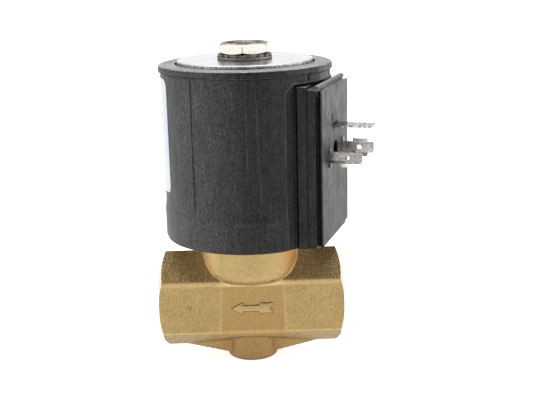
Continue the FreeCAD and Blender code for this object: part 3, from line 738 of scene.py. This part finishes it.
def forged_brass():
    """Sand-blasted forging: coarse grain, browner on the panel; painted shade on facets and foot.
    """
    paint = Paint("forged_brass")
    x, y, z = paint.separate()
    aside, limb = paint.math("ABSOLUTE", x), paint.facing("X")
    front = paint.ramp(paint.math("ABSOLUTE", y), *FRONT_FLAT)
    down = paint.ramp(z, (PORT_Z + RIDGE) / MM, (PORT_Z - RIDGE) / MM)
    left, right = (paint.remap(down, 0, 1, top / MM, bottom / MM)
                   for top, bottom in (WAIST_LEFT, WAIST_RIGHT))
    inside = paint.math("MINIMUM", paint.math("ADD", x, left), paint.math("SUBTRACT", right, x))
    panel = paint.product((inside, PANEL_INSIDE), front, (z, PANEL_BELOW))
    # painted highlight along the sunk panel's sloping sides
    flank_highlight = paint.product((inside, FLANK_INSIDE), front, (z, FLANK_BELOW))
    # painted highlights along the front flat's upper and lower edges
    flat_edge_highlight = paint.math("ADD", *(paint.band(z, *edge) for edge in FLAT_EDGES))
    # painted shade on the facets that look up or down
    facet = paint.ramp(paint.facing("Z"), *SLOPING)
    # painted shade low in the body's middle, round the foot
    belly = paint.product((z, BELLY_BELOW), (aside, BELLY_ASIDE))
    # painted shade on the foot's lower edge and on its sides
    foot_edge_shade = paint.most((z, FOOT_LOW), (limb, FOOT_LIMB))
    # painted reflections on the neck's sides: pale gold on the left, dark orange on the right
    neck_side_reflection = paint.product((z, NECK_SIDE_UP), (limb, NECK_SIDE_LIMB))
    # painted highlight along the neck's outline
    neck_limb_highlight = paint.product((z, LIMB_UP), (limb, LIMB_EDGE))
    # painted highlight where the neck's bowl meets the front flat
    seam_highlight = paint.product((z, SEAM), (aside, SEAM_ASIDE), front)
    raised = paint.product((y, ARROW_FRONT), (x, ARROW_LONG), (z, ARROW_HIGH))
    red = paint.product((inside, RED_INSIDE), (z, RED_BELOW), front,
                        paint.ramp(paint.noise(0.9, 3, 0.6, (1, 1, 0.3)), 0.35, 0.6))
    grain = paint.noise(0.38, 3, 0.65)
    coarse = paint.remap(facet, 0, 1, 0.45, 1.3)
    colour = paint.coats(
        paint.mix(paint.ramp(paint.noise(7.0, 4), 0.38, 0.66), *BRASS["patch"]),
        ((z, NECK_UP), BRASS["neck"]),
        (paint.product(panel, paint.remap(z, *PANEL_BROWNING)), BRASS["panel"]),
        (paint.product(flank_highlight, 0.22), BRASS["panel_flank_highlight"]),
        (paint.product(flat_edge_highlight, front, 0.35), BRASS["flat_edge_highlight"]),
        (facet, paint.mix((aside, ROOF_ENDS), *BRASS["facet_shade"])),
        (paint.product(belly, 0.8), BRASS["belly"]),
        (paint.product(foot_edge_shade, (z, FOOT_BELOW), 0.6), BRASS["foot_edge_shade"]),
        (neck_side_reflection, paint.mix((x, NECK_ACROSS), *BRASS["neck_side_reflection"])),
        (paint.product(neck_limb_highlight, 0.7), BRASS["neck_limb_highlight"]),
        (paint.product(seam_highlight, 0.5), BRASS["neck_seam_highlight"]),
        (paint.product(raised, 0.35), BRASS["arrow"]),
        (paint.product(red, 0.5), BRASS["reddish"]),
        (paint.product(paint.ramp(grain, 0.50, 0.34), coarse), BRASS["pit"]),
        (paint.product(paint.ramp(grain, 0.52, 0.68), coarse, 0.8), BRASS["peak"]))
    normal = paint.bump(grain, 0.14, 1.0, paint.bump(paint.noise(1.1, 2, 0.6), 0.16, 0.7))
    return paint.finish(colour, paint.remap(grain, 0.3, 0.7, 0.46, 0.58), normal, metallic=1.0)


def relief_shade_paint():
    """Painted shade: brown on the faces in the groove round the arrow that look down."""
    paint = Paint("relief_shade_paint")
    tone = paint.ramp(paint.noise(0.6, 3), 0.35, 0.65)
    return paint.finish(paint.mix(tone, *BRASS["relief_shade"]), paint.remap(tone, 0, 1, 0.5, 0.6),
                        metallic=1.0)


def turned_brass(name):
    """Bright machined brass with faint tool marks."""
    paint = Paint(name)
    marks = paint.noise(0.5, 3, 0.6)
    return paint.finish(paint.mix(paint.ramp(marks, 0.3, 0.7), *BRASS["turned"]),
                        paint.remap(marks, 0.3, 0.7, 0.2, 0.34), paint.bump(marks, 0.02, 0.4),
                        metallic=1.0)


# --- the coil's moulding: tones, and the places that they follow ---
# Heights and distances are in mm; angles are in degrees round the axis from the connector.
PLASTIC = {  # (darkest, palest) of the grain
    "plain": (grey(0.001), (0.013, 0.013, 0.0135)),
    # painted light on the coil's left
    "left": (grey(0.006), (0.048, 0.048, 0.049)),
    # painted light on the connector's face
    "face": (grey(0.002), (0.085, 0.085, 0.084)),
    # painted highlight along the connector's upper edge
    "bead": (grey(0.016), grey(0.13)),
    "lit_top": (grey(0.05), grey(0.62)),
    "face_grain": (0.056, 0.056, 0.055),
    # stains, and painted shade round the earth blade's root
    "stains_and_root_shade": grey(0.002),
    "black": (0, 0, 0),
    # painted highlights along edges
    "line": (0.060, 0.060, 0.061),
    # painted shade in hollows and gaps
    "hollow": grey(0.0015),
}
LEFT_PALER = (0.5, -13.0)  # along X: painted light makes the coil's left lighter
FACE_OUT = (29.9, 30.1)  # along the connector; beyond it, the face gets painted light
FACE_DARKENING = (88.0, 50.0)  # height: painted shade, the face gets darker downwards
SMUDGE = ((-4.3, 1.0, 0.5), (85.2, 0.8, 0.8))  # sideways and height, on the face
GATE_LINE = ((7.7, 0.1, 0.35), (81.5, 4.0, 2.0))
# painted shade round the earth blade's root: across and height
EARTH_ROOT = ((4.6, 3.4), (82.1, 0.7, 0.7))
BEAD_UP, BEAD_OUT = (94.9, 95.05), (27.0, 27.3)  # painted highlight along the connector's upper edge
TOP_LEVEL, TOP_UP = (0.45, 0.9), (94.0, 95.2)  # painted light on faces that look up: how squarely a face looks up, and height
RECESS, RECESS_BELOW = (42.6, 3.0, 0.2), (95.5, 94.5)  # painted shade on the strip beside the connector
RIB_ANGLE, RIB_WIDTH = 71.5, (0.10, 0.25)
RIB_SLANT = (57.8, 99.4, 62.6, 65.3)  # two heights and the inner rib's angle at each
RIB_UP, RIB_BELOW = (57.5, 62.0), (99.6, 99.0)
RECESS_SIDE, RECESS_SIDE_BELOW = (45.6, 0.12, 0.25), (94.8, 94.3)
RECESS_TOP, RECESS_TOP_NEAR = (97.3, 0.12, 0.2), (40.6, 40.0)
CORNER_LINE, CORNER_NEAR = (117.3, 0.12, 0.2), (42.8, 2.8, 0.2)  # height + half the angle; angle
LOW_LINE = (54.0, 0.1, 0.2)
OUTER_SKIN = (27.4, 27.6)  # distance from the axis
# painted shadow under the recess's top edge
HOLLOW_IN, HOLLOW_BELOW, HOLLOW_UP = (27.5, 27.1), (97.2, 97.0), (95.2, 96.2)
HOUSING_EDGE = ((21.75, 0.3, 0.15), (16.4, 0.6, 0.3), (97.1, 96.9))  # painted shade in the corner groove: along, across, height
# painted shade in the gap beside the connector's face plate
FACE_GAP = ((29.2, 0.65, 0.1), (15.9, 15.6), (94.85, 94.75))
LIP_NOTCH = ((5.6, 2.2, 0.2), (99.2, 1.5, 0.1))  # painted shade in the lip's slit: angle and height
# painted shade under the lip
LIP_LINE, LIP_OUT = (99.75, 0.25, 0.15), (27.6, 27.8)


def coil_marks(paint, z, across, sideways, along, face):
    """Masks of painted highlights on edges, painted shade in hollows and gaps, and face stains."""
    from_axis = paint.from_axis()
    degrees = paint.degrees(across, along)
    off_face = paint.ramp(face, 0.5, 0.1)
    ribs = paint.most(paint.band(degrees, RIB_ANGLE, *RIB_WIDTH),
                      paint.band(degrees, paint.remap(z, *RIB_SLANT), *RIB_WIDTH))
    slope = paint.math("ADD", paint.product(degrees, 0.5), z)
    # painted highlights along the ribs, the recess's edges and a low step
    lines = paint.most(
        paint.product(ribs, (z, RIB_UP), (z, RIB_BELOW)),
        paint.product((degrees, RECESS_SIDE), (z, RECESS_SIDE_BELOW)),
        paint.product((z, RECESS_TOP), (degrees, RECESS_TOP_NEAR)),
        paint.product((slope, CORNER_LINE), (degrees, CORNER_NEAR)),
        paint.product((z, LOW_LINE), 0.3))
    lines = paint.product(lines, (from_axis, OUTER_SKIN), off_face)
    # painted shade on the recessed strip beside the connector
    recess = paint.product((degrees, RECESS), (z, RECESS_BELOW), off_face)
    hollow = paint.product((from_axis, HOLLOW_IN), (z, HOLLOW_BELOW))
    signed = paint.degrees(sideways, along)
    # painted shade under the recess's top edge, in the corner groove, beside the face plate, in the
    # lip's slit and under the lip
    dark = paint.most(
        paint.product(hollow, (z, HOLLOW_UP), 0.85),
        paint.product((along, HOUSING_EDGE[0]), (across, HOUSING_EDGE[1]), (z, HOUSING_EDGE[2])),
        paint.product((along, FACE_GAP[0]), (across, FACE_GAP[1]), (z, FACE_GAP[2])),
        paint.product((signed, LIP_NOTCH[0]), (z, LIP_NOTCH[1])),
        paint.product((z, LIP_LINE), (from_axis, LIP_OUT), 0.8))
    # stains on the face, with painted shade round the earth blade's root
    stains_and_root_shade = paint.most(
        paint.product((sideways, SMUDGE[0]), (z, SMUDGE[1])),
        paint.product((across, EARTH_ROOT[0]), (z, EARTH_ROOT[1])),
        paint.product((sideways, GATE_LINE[0]), (z, GATE_LINE[1]), 0.5))
    return lines, recess, dark, stains_and_root_shade


def coil_plastic():
    """Black glass-filled moulding: streaky eroded grain, with painted light on top and on the
    connector.
    """
    paint = Paint("coil_plastic")
    x, _, z = paint.separate()
    along, sideways = paint.along(), paint.sideways()
    across = paint.math("ABSOLUTE", sideways)
    face = paint.ramp(along, *FACE_OUT)
    lines, recess, dark, stains_and_root_shade = coil_marks(paint, z, across, sideways, along, face)
    dark = paint.most(dark, paint.product(stains_and_root_shade, face))
    grain = paint.noise(0.44, 3, 0.7, (1, 1, 0.5))
    streak = paint.ramp(paint.noise(1.5, 4, 0.65, (1, 1, 0.18)), 0.36, 0.66)
    clouds = paint.ramp(paint.noise(8.0, 5, 0.6, (1, 1, 0.5)), 0.38, 0.64)
    blotch = paint.ramp(paint.noise(4.5, 5, 0.72, (1, 1, 0.7)), 0.40, 0.62)
    speck = paint.product(paint.ramp(grain, 0.40, 0.66), paint.remap(clouds, 0, 1, 0.7, 1.15))
    speck = paint.math("ADD", paint.product(speck, 0.75), paint.product(streak, 0.25))
    rubbed = paint.math("ADD", paint.product(streak, 0.45), paint.product(blotch, 0.55))
    # painted light: the coil's left is lighter
    left_light_mask = paint.ramp(x, *LEFT_PALER)
    # the connector's face: painted light with random rubbed patches, painted shade downwards, and
    # stains
    lit_face = paint.coats(paint.mix(rubbed, *PLASTIC["face"]),
                          (paint.product(speck, 0.5), PLASTIC["face_grain"]))
    shaded = paint.mix(0.8, lit_face, PLASTIC["black"])
    lit_face = paint.coats(lit_face, ((z, FACE_DARKENING), shaded), (stains_and_root_shade, PLASTIC["stains_and_root_shade"]))
    # painted highlight along the connector's upper edge
    bead = paint.product((z, BEAD_UP), (along, BEAD_OUT))
    # painted light on the faces that look up
    top = paint.product(paint.ramp(paint.facing("Z"), *TOP_LEVEL), (z, TOP_UP))
    streaked_highlights = paint.product(lines, paint.remap(streak, 0, 1, 0.35, 1.0))
    colour = paint.coats(paint.mix(speck, *PLASTIC["plain"]),
                         (left_light_mask, paint.mix(speck, *PLASTIC["left"])),
                         (face, lit_face),
                         (bead, paint.mix(speck, *PLASTIC["bead"])),
                         (top, paint.mix(speck, *PLASTIC["lit_top"])),
                         (paint.product(recess, 0.45), PLASTIC["black"]),
                         (paint.product(streaked_highlights, 0.8), PLASTIC["line"]),
                         (dark, PLASTIC["hollow"]))
    normal = paint.bump(grain, 0.10, 1.0, paint.bump(paint.noise(1.7, 3), 0.10, 0.5))
    patchy = paint.math("ADD", paint.product(rubbed, 0.6), paint.product(speck, 0.4))
    patchy = paint.product(face, paint.remap(patchy, 0.15, 0.75, -0.45, 0.40))
    shine = paint.product(paint.remap(speck, 0, 1, 0.22, 0.55), paint.remap(dark, 0, 1, 1.0, 0.2),
                          paint.remap(left_light_mask, 0, 1, 0.72, 0.95), paint.math("ADD", 1.0, patchy))
    return paint.finish(colour, paint.remap(grain, 0.3, 0.7, 0.42, 0.58), normal, specular=shine)


# --- the other materials ---
WHITE = grey(1.0)
STAINED_GLINT = (0.20, 0.12, 0.12)
PLATED = {  # two cloudy tones, range of roughness, waviness and size of the clouds in mm
    "stainless_steel": (((0.58, 0.57, 0.55), (0.66, 0.65, 0.63)), (0.25, 0.4), 0.02, 4.0),
    "core_steel": (((0.36, 0.27, 0.25), (0.56, 0.46, 0.43)), (0.2, 0.36), 0.02, 1.2),
    "stained_steel": (((0.05, 0.034, 0.033), (0.17, 0.13, 0.12)), (0.25, 0.4), 0.02, 1.2,
                      STAINED_GLINT),
    "copper": (((0.72, 0.38, 0.24), (0.80, 0.46, 0.31)), (0.3, 0.45), 0.02, 4.0),
    "dark_zinc": (((0.16, 0.155, 0.145), (0.20, 0.195, 0.185)), (0.5, 0.6), 0.02, 0.8),
    "spring_steel": (((0.55, 0.55, 0.56), (0.65, 0.65, 0.66)), (0.25, 0.35), 0.02, 4.0),
    # painted light: the earth blade is a brighter, lit copy of the contact metal
    "earth_contact_lit": (((0.10, 0.097, 0.092), (0.64, 0.63, 0.60)), (0.16, 0.26), 0.04, 0.9),
}
# painted light: the rear contact is a lit copy of the tinned blade, the front one a shaded copy
CONTACTS = {  # two cloudy tones, the lower ear, the strip near the root
    # the ear is a painted highlight; the root strip is a painted highlight at the rear, painted
    # shade at the front
    "tinned_contact": (((0.27, 0.265, 0.255), (0.55, 0.54, 0.52)), (0.66, 0.66, 0.53),
                       (0.72, 0.71, 0.68)),
    "front_contact_shaded": (((0.14, 0.135, 0.13), (0.34, 0.325, 0.31)), (0.78, 0.78, 0.72),
                     (0.10, 0.095, 0.09)),
}
NUT = {
    "flat": ((0.70, 0.68, 0.60), (0.66, 0.64, 0.57)),
    # painted shade on the flats that face left
    "left": ((0.42, 0.41, 0.36), (0.38, 0.37, 0.325)),
    # painted shade on the top
    "top": ((0.36, 0.33, 0.30), (0.66, 0.63, 0.57)),
    # the corner tone draws painted shade lines between the flats
    "middle": (0.025, 0.014, 0.014), "corner": (0.16, 0.13, 0.10),
}
PLATE = {"top": ((0.74, 0.75, 0.76), (0.86, 0.87, 0.88)), "rim": (grey(0.15), grey(0.50))}
PLAIN = {
    "rubber": ((0.02, 0.02, 0.021), (0.03, 0.03, 0.031)),
    "bobbin": ((0.03, 0.03, 0.032), (0.05, 0.05, 0.052)),
    "floor": (grey(0.88), grey(0.9)),
}
LABEL = {"film": ((0.39, 0.43, 0.45), (0.44, 0.48, 0.50)), "ink": (0.13, 0.15, 0.16)}
LABEL_R = 27.9  # mm
ROW_HEIGHT = 4.2  # mm
ROW_INK = (0.40, 0.62)  # share of a row's height between which a bar lies
BAR_LENGTH = 6.0  # mm
PRINT_BEHIND = -6.5  # y in mm; the part that faces the front is left plain
STRIP_WITHIN, EAR_BEYOND = (35.9, 35.5), (33.8, 34.0)  # mm along the connector
NUT_MIDDLE = (8.3, 5.2)  # mm from the axis
NUT_LEFT = (-0.6, -1.1)  # mm along X; the flats to the left of it get painted shade
NUT_TURN = 25.0  # degrees that bring the corners to 30, 90 and so on


def plated_steel(name, colours, rough, wave, cloud_mm, glint=None):
    """Zinc or nickel on steel: cloudy colour, uneven roughness and a slightly wavy surface."""
    paint = Paint(name)
    cloud = paint.ramp(paint.noise(cloud_mm, 4, 0.6), 0.35, 0.65)
    return paint.finish(paint.mix(cloud, *colours), *paint.plating(*rough, wave), metallic=1.0,
                        glint=glint)


def contact_steel(name, colours, ear, strip):
    """Tinned blade; painted highlights and shade on its lower ear and on a strip along its lower
    edge near the root.
    """
    paint = Paint(name)
    cloud = paint.ramp(paint.noise(0.7, 4, 0.6), 0.35, 0.65)
    z, along = paint.separate()[2], paint.along()
    edge = (TAB_Z - TAB_HALF) / MM
    # painted highlight and shade tones on the strip near the root and on the lower ear
    root = paint.product(paint.ramp(z, edge + 1.1, edge + 0.8), (along, STRIP_WITHIN))
    lower = paint.product(paint.ramp(z, edge + 0.05, edge - 0.05), (along, EAR_BEYOND))
    colour = paint.coats(paint.mix(cloud, *colours), (root, strip), (lower, ear))
    return paint.finish(colour, *paint.plating(0.2, 0.34, 0.04), metallic=1.0)


def sheared_plate():
    """Bright plated plate whose sheared rim is rough and dull."""
    paint = Paint("yoke_plate")
    cloud = paint.ramp(paint.noise(6.0, 4, 0.6), 0.35, 0.65)
    top = paint.mix(cloud, *PLATE["top"])
    tear = paint.noise(0.5, 3, 0.7, (1, 1, 0.3))
    rim = paint.mix(paint.ramp(tear, 0.4, 0.62), *PLATE["rim"])
    level = paint.ramp(paint.facing("Z"), 0.35, 0.85)
    bumps = {"Factor": level, "A": paint.bump(tear, 0.10, 0.8),
             "B": paint.bump(paint.noise(0.4, 3), 0.012, 0.5)}
    blend = paint.node("ShaderNodeMix", bumps, data_type="VECTOR")
    return paint.finish(paint.mix(level, rim, top), paint.remap(level, 0, 1, 0.5, 0.2),
                        blend.outputs["Result"], metallic=1.0)


def zinc_nut():
    """Pale yellowish plating with painted shade on the left flats and top; brown in the top's
    middle.
    """
    paint = Paint("zinc_nut")
    cloud = paint.ramp(paint.noise(1.0, 3, 0.6), 0.38, 0.62)
    x, y, _ = paint.separate()
    middle = paint.ramp(paint.from_axis(), *NUT_MIDDLE)
    top = paint.coats(paint.mix(cloud, *NUT["top"]), (middle, NUT["middle"]))
    from_corner = paint.math("FLOORED_MODULO",
                             paint.math("ADD", paint.degrees(x, y), NUT_TURN), 60.0)
    flat = paint.coats(paint.mix(cloud, *NUT["flat"]),
                       # painted shade on the flats that face left, and painted shade lines at the
                       # corners
                       ((x, NUT_LEFT), paint.mix(cloud, *NUT["left"])),
                       (paint.band(from_corner, 30.0, 0.4, 0.8), NUT["corner"]))
    # the top takes its painted shade tone where a face looks up
    level = paint.ramp(paint.facing("Z"), 0.5, 0.8)
    glint = paint.mix(middle, WHITE, STAINED_GLINT)
    return paint.finish(paint.mix(level, flat, top), *paint.plating(0.16, 0.26), metallic=1.0,
                        glint=paint.mix(level, WHITE, glint))


def moulded(name, colours, roughness, grain_mm):
    """Plain moulded plastic or rubber."""
    paint = Paint(name)
    cloud = paint.ramp(paint.noise(6.0, 3), 0.3, 0.7)
    grain = paint.noise(grain_mm, 3)
    rough = paint.remap(grain, 0.3, 0.7, roughness - 0.06, roughness + 0.06)
    return paint.finish(paint.mix(cloud, *colours), rough, paint.bump(grain, 0.03, 0.6))


def label_film():
    """Pale film with a few plain grey bars; nothing on it can be read."""
    paint = Paint("label_film")
    x, y, z = paint.separate()
    round_mm = paint.product(paint.math("ARCTAN2", y, x), LABEL_R)
    row = paint.math("DIVIDE", z, ROW_HEIGHT)
    in_row = paint.product(paint.math("GREATER_THAN", paint.math("FRACT", row), ROW_INK[0]),
                           paint.math("LESS_THAN", paint.math("FRACT", row), ROW_INK[1]))
    column = paint.math("FLOOR", paint.math("DIVIDE", round_mm, BAR_LENGTH))
    cell = paint.node("ShaderNodeCombineXYZ", {0: paint.math("FLOOR", row), 1: column}).outputs[0]
    words = paint.node("ShaderNodeTexWhiteNoise", {"Vector": cell}, noise_dimensions="2D")
    printed = paint.product(in_row, paint.math("GREATER_THAN", words.outputs["Value"], 0.5),
                            paint.math("GREATER_THAN", y, PRINT_BEHIND))
    cloud = paint.ramp(paint.noise(8.0, 3), 0.3, 0.7)
    colour = paint.coats(paint.mix(cloud, *LABEL["film"]), (printed, LABEL["ink"]))
    rough = paint.remap(paint.noise(1.2, 3), 0.3, 0.7, 0.28, 0.38)
    return paint.finish(colour, rough, paint.bump(paint.noise(2.5, 2), 0.03, 0.4), specular=0.25)


# --- CAD pieces shown as they are ---
def dressed(obj, material, edge_mm):
    """Gives a CAD piece its material and, where it has edges, breaks them with a bevel."""
    obj.data.materials.clear()
    obj.data.materials.append(material)
    smooth_faces(obj)
    if not edge_mm:
        return
    weld = obj.modifiers.new("weld", "WELD")
    weld.merge_threshold = 0.002 * MM
    flat = obj.modifiers.new("flat", "DECIMATE")
    flat.decimate_type = "DISSOLVE"
    flat.angle_limit = math.radians(0.5)
    bevel(obj, edge_mm, degrees=32)
    obj.modifiers.new("normals", "WEIGHTED_NORMAL").keep_sharp = True


def dress_cad_nodes():
    """Materials and edges for every CAD piece but the body."""
    brass = turned_brass("turned_brass")
    rubber = moulded("seal_rubber", PLAIN["rubber"], 0.6, 0.4)
    bobbin = moulded("bobbin_plastic", PLAIN["bobbin"], 0.45, 0.5)
    plate = sheared_plate()
    metal = {name: plated_steel(name, *values) for name, values in PLATED.items()}
    blade = {name: contact_steel(name, *values) for name, values in CONTACTS.items()}
    wanted = {  # material, and edge in mm
        "bonnet": (brass, 0.15), "bonnet_seal": (rubber, 0), "valve_seal": (rubber, 0.1),
        "guide_tube": (metal["stainless_steel"], 0.1), "plunger": (metal["core_steel"], 0.2),
        "fixed_core": (metal["stained_steel"], 0.12), "shading_ring": (metal["copper"], 0.05),
        "coil_nut": (zinc_nut(), 0.12), "lock_washer": (metal["dark_zinc"], 0.06),
        "plain_washer": (metal["dark_zinc"], 0.1), "return_spring": (metal["spring_steel"], 0),
        "coil_shell": (coil_plastic(), 0.16), "coil_label": (label_film(), 0.02),
        "upper_yoke_plate": (plate, 0.12), "lower_yoke_plate": (plate, 0.15),
        "yoke_sleeve": (plate, 0.1), "bobbin": (bobbin, 0.1), "winding": (metal["copper"], 0.1),
        "power_terminal_front": (blade["front_contact_shaded"], 0.07),
        "power_terminal_rear": (blade["tinned_contact"], 0.07),
        "earth_terminal": (metal["earth_contact_lit"], 0.1), "screw_insert": (brass, 0.08),
    }
    for node, (material, edge_mm) in wanted.items():
        dressed(NODES[node], material, edge_mm)
    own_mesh(NODES["return_spring"])


# --- stage, light and camera ---
def floor():
    """Plain pale floor."""
    corners = ((-1, -1), (1, -1), (1, 1), (-1, 1))
    bm = bmesh.new()
    bm.faces.new([bm.verts.new((x * FLOOR_HALF, y * FLOOR_HALF, FLOOR_Z)) for x, y in corners])
    obj = new_object("floor", bm)
    paint = Paint("floor")
    paint.fill(paint.shader, {"Emission Color": WHITE, "Emission Strength": FLOOR_GLOW})
    cloud = paint.ramp(paint.noise(300.0, 2), 0.3, 0.7)
    obj.data.materials.append(paint.finish(paint.mix(cloud, *PLAIN["floor"]), 0.8))


def area_light(name, place, size, power):
    """Soft rectangular light that faces the object."""
    data = bpy.data.lights.new(name, "AREA")
    data.shape = "RECTANGLE"
    data.size, data.size_y = size
    data.energy = power
    obj = bpy.data.objects.new(name, data)
    obj.location = place
    towards = Vector(LIGHT_TARGET) - Vector(place)
    obj.rotation_euler = towards.to_track_quat("-Z", "Y").to_euler()
    SCENE.collection.objects.link(obj)


def light():
    """White room, darker behind the camera, with a large soft light on each side and above."""
    world = bpy.data.worlds.new("studio")
    world.use_nodes = True
    tree = world.node_tree
    where = tree.nodes.new("ShaderNodeTexCoord")
    split = tree.nodes.new("ShaderNodeSeparateXYZ")
    tree.links.new(where.outputs["Generated"], split.inputs[0])
    shade = tree.nodes.new("ShaderNodeMapRange")
    for key, value in (("From Min", -1.0), ("From Max", -0.1), ("To Min", FRONT_SHADE),
                       ("To Max", ROOM_LIGHT)):
        shade.inputs[key].default_value = value
    tree.links.new(split.outputs["Y"], shade.inputs["Value"])
    tree.links.new(shade.outputs["Result"], tree.nodes["Background"].inputs["Strength"])
    tree.nodes["Background"].inputs["Color"].default_value = (1, 1, 1, 1)
    SCENE.world = world
    for name, (place, size, power) in LIGHTS.items():
        area_light(name, place, size, power)


def camera():
    """Close camera a little above the coil's top, looking down at the front."""
    ahead = Vector((math.sin(CAMERA_YAW) * math.cos(CAMERA_PITCH),
                    math.cos(CAMERA_YAW) * math.cos(CAMERA_PITCH), -math.sin(CAMERA_PITCH)))
    level = Vector((math.cos(CAMERA_YAW), -math.sin(CAMERA_YAW), 0))
    up = level.cross(ahead)
    right = level * math.cos(CAMERA_ROLL) - up * math.sin(CAMERA_ROLL)
    top = level * math.sin(CAMERA_ROLL) + up * math.cos(CAMERA_ROLL)
    data = bpy.data.cameras.new("camera")
    data.sensor_width = CAMERA_SENSOR
    data.lens = CAMERA_LENS
    data.clip_start, data.clip_end = CAMERA_RANGE
    obj = bpy.data.objects.new("camera", data)
    obj.matrix_world = Matrix((right, top, -ahead)).transposed().to_4x4()
    obj.location = CAMERA_PLACE
    SCENE.collection.objects.link(obj)
    SCENE.camera = obj


camera()
light()
floor()
SCENE.view_settings.view_transform = "Standard"
casting((forged_brass(), turned_brass("machined_brass"), relief_shade_paint()))
dress_cad_nodes()
